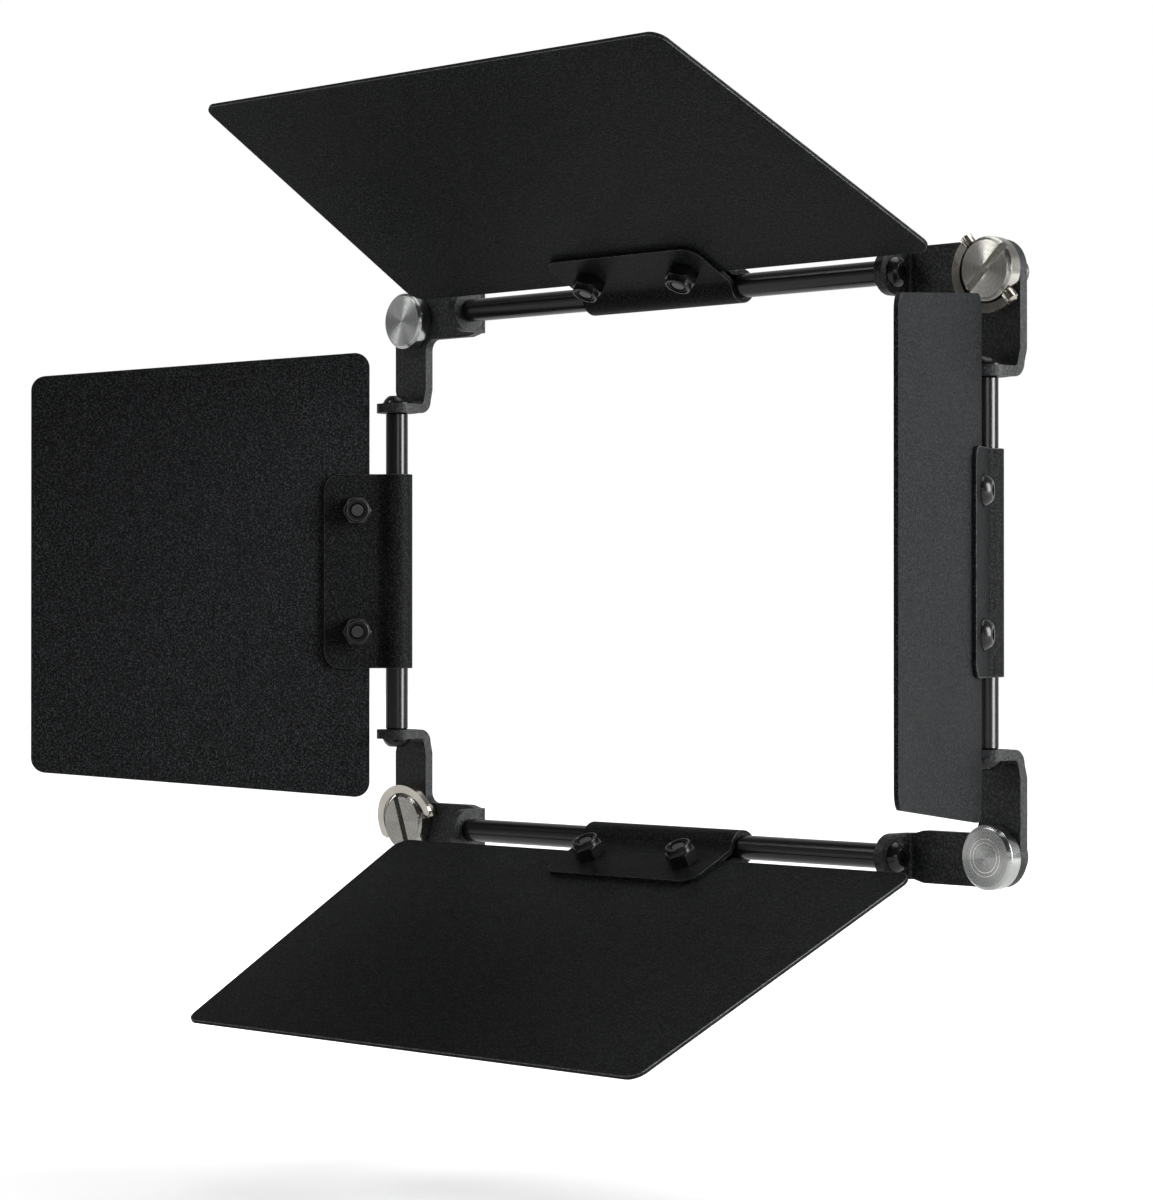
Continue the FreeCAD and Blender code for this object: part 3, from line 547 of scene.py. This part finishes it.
def narrow_shank(piece, centre, start):
    """Draws the wall behind the bracket in to the root of the thread."""
    pick(piece)
    for vertex in piece.data.vertices:
        vertex.select = vertex.co.y > start + CLOSE
    bpy.ops.object.mode_set(mode="EDIT")
    bpy.ops.mesh.select_mode(type="VERT")
    bpy.ops.transform.resize(value=(ROOT / CREST, 1.0, ROOT / CREST), center_override=centre)
    bpy.ops.object.mode_set(mode="OBJECT")


def wind_thread(name, centre, start, end):
    """A ridge of trapezoid section wound round the y axis."""
    bpy.ops.object.select_all(action="DESELECT")
    bpy.ops.mesh.primitive_plane_add(size=1.0, location=(0, 0, 0))
    ridge = bpy.context.object
    ridge.name = ridge.data.name = name
    bpy.ops.object.mode_set(mode="EDIT")
    deep = CREST - ROOT + SUNK
    bpy.ops.transform.resize(value=(deep, PITCH * FOOT_WIDTH, 1.0),
                             center_override=(0, 0, 0))
    bpy.ops.transform.translate(value=(CREST - deep / 2, 0, 0))
    bpy.ops.mesh.delete(type="ONLY_FACE")
    bpy.ops.object.mode_set(mode="OBJECT")
    for vertex in ridge.data.vertices:
        vertex.select = vertex.co.x > CREST - CLOSE
    for edge in ridge.data.edges:
        edge.select = all(ridge.data.vertices[v].select for v in edge.vertices)
    bpy.ops.object.mode_set(mode="EDIT")
    bpy.ops.transform.resize(value=(1.0, TOP_WIDTH, 1.0), center_override=(CREST, 0, 0))
    bpy.ops.object.mode_set(mode="OBJECT")
    turns = (end - start) / PITCH - 1.0
    wound = ridge.modifiers.new("wound", "SCREW")
    wound.axis, wound.angle = "Y", 2 * math.pi * turns
    wound.screw_offset, wound.steps = PITCH * turns, round(STEPS * turns)
    wound.render_steps = wound.steps
    bpy.ops.object.modifier_apply(modifier=wound.name)
    ridge.location = (centre.x, start + PITCH * 0.5, centre.z)
    bpy.ops.object.transform_apply(location=True, rotation=True, scale=True)
    bpy.ops.object.mode_set(mode="EDIT")
    bpy.ops.mesh.select_all(action="SELECT")
    bpy.ops.mesh.fill_holes(sides=4)
    bpy.ops.mesh.select_all(action="SELECT")
    bpy.ops.mesh.normals_make_consistent(inside=False)
    bpy.ops.object.mode_set(mode="OBJECT")
    bpy.ops.object.shade_smooth_by_angle(angle=SMOOTH)
    return ridge


# %% [markdown]
# ## Both fixing screws
# The brackets' backs lie at y = 0, so the shank is narrowed from there to the tip. The
# ridge starts just behind that plane and stops just short of the tip. It rides on its
# screw's body, so that it turns with the screw.

# %% Thread both fixing screws
THREAD_START, TIP_ROOM = 0.0001, 0.0004
for corner in SCREW_CORNERS:
    node = "thumbscrew_" + corner
    centre, tip = centre_of(node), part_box(node)[1].y
    narrow_shank(dressed[node], centre, 0.0)
    ridge = wind_thread("thread_" + corner, centre, THREAD_START, tip - TIP_ROOM)
    ridge.data.materials.append(head_finish[node])
    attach(ridge, body_of[node])
    print(ridge.name, "faces:", len(ridge.data.polygons),
          "from y", round(min(v.co.y for v in ridge.data.vertices), 5),
          "to", round(max(v.co.y for v in ridge.data.vertices), 5))

# %% [markdown]
# ## Table
# A white table, as for a catalogue picture. It turns to plain white away from the
# attachment, so that only the soft shadow shows, and it is low enough for the bottom flap
# to swing down. That white is emission that the camera sees in full, shiny surfaces see
# faintly and nothing else sees, so it doesn't light the black sheet metal from below.

# %% Table
NEAR_GLOW, MIRROR_GLOW = 0.38, 0.25


def table_white(name):
    """Lit like white paper near the attachment, plain white to the camera farther off."""
    finish = Finish(name)
    away = finish.node("ShaderNodeVectorMath", {"operation": "LENGTH"}, {0: finish.place()},
                       output="Value").spread(0.10, 0.55)
    camera_ray = finish.node("ShaderNodeLightPath", output="Is Camera Ray")
    glossy_ray = finish.node("ShaderNodeLightPath", output="Is Glossy Ray")
    glow = camera_ray * (away * (1.0 - NEAR_GLOW) + NEAR_GLOW) + glossy_ray * MIRROR_GLOW
    return finish.surface(Base_Color=(0.72, 0.72, 0.72, 1.0), Roughness=0.9,
                          Emission_Color=finish.blend(glow, (0.0, 0.0, 0.0), (1.0, 1.0, 1.0)),
                          Emission_Strength=1.0)


SWING_ROOM = 0.042  # the bottom flap hangs this much lower when it is swung right down
TABLE = cad_box[0][2] - SWING_ROOM
bpy.ops.mesh.primitive_plane_add(size=9.0, location=(0, 0, TABLE))
table = bpy.context.object
table.name = "studio_table"
table.data.materials.append(table_white("table_white"))
print("table at", round(table.location.z, 3))

# %% [markdown]
# ## Wall and room
# Black objects need a dark room round them. The camera sees white on all sides. For
# everything else, only the wall behind is fairly bright, and the room is nearly black.

# %% World
class Sky(Finish):
    """The same helper on a world."""

    def __init__(self, name):
        self.material = bpy.data.worlds.new(name)
        self.material.use_nodes = True
        self.tree = self.material.node_tree
        self.shader = self.tree.nodes["Background"]


sky = Sky("studio_world")
WALL = (-0.55, 0.83, 0.0)  # the direction of the bright wall
outward = sky.node("ShaderNodeTexCoord", output="Generated")
ahead = sky.node("ShaderNodeVectorMath", {"operation": "DOT_PRODUCT"},
                 {0: outward, 1: WALL}, output="Value")
room = ahead.spread(0.15, 0.95) * 0.60 + 0.05
seen = sky.node("ShaderNodeLightPath", output="Is Camera Ray")
bpy.context.scene.world = sky.surface(Color=(1.0, 1.0, 1.0, 1.0),
                                      Strength=room * (1 - seen) + seen)
bpy.context.scene.view_settings.view_transform = "Standard"
print("world: white wall, dark room")

# %% [markdown]
# ## Lamps
# Five soft lamps draw the highlights. The key stands on the right and a little behind, so
# that it rakes the sheets from the side and misses the fronts of the turned heads. The
# fill, the bank above and two weak glints, level with the attachment, give those fronts,
# the rims and the ring lugs their light.

# %% Lamps
def soft_light(name, place, size, watts):
    """A rectangular lamp that faces the attachment."""
    bpy.ops.object.light_add(type="AREA", location=place)
    lamp = bpy.context.object
    lamp.name = name
    lamp.data.shape = "RECTANGLE"
    lamp.data.size, lamp.data.size_y = size
    lamp.data.energy = watts
    lamp.rotation_euler = (-Vector(place)).to_track_quat("-Z", "Y").to_euler()


soft_light("key_right", (1.25, 0.55, 0.30), (0.6, 1.0), 35.0)
soft_light("fill_left", (-0.75, -1.1, 1.0), (0.7, 0.5), 9.0)
soft_light("top_bank", (0.1, 0.2, 1.4), (1.2, 0.8), 10.0)
soft_light("glint_left", (-1.05, -0.80, 0.10), (0.9, 0.5), 0.6)
soft_light("glint_right", (1.25, -0.72, 0.15), (0.5, 0.3), 1.4)
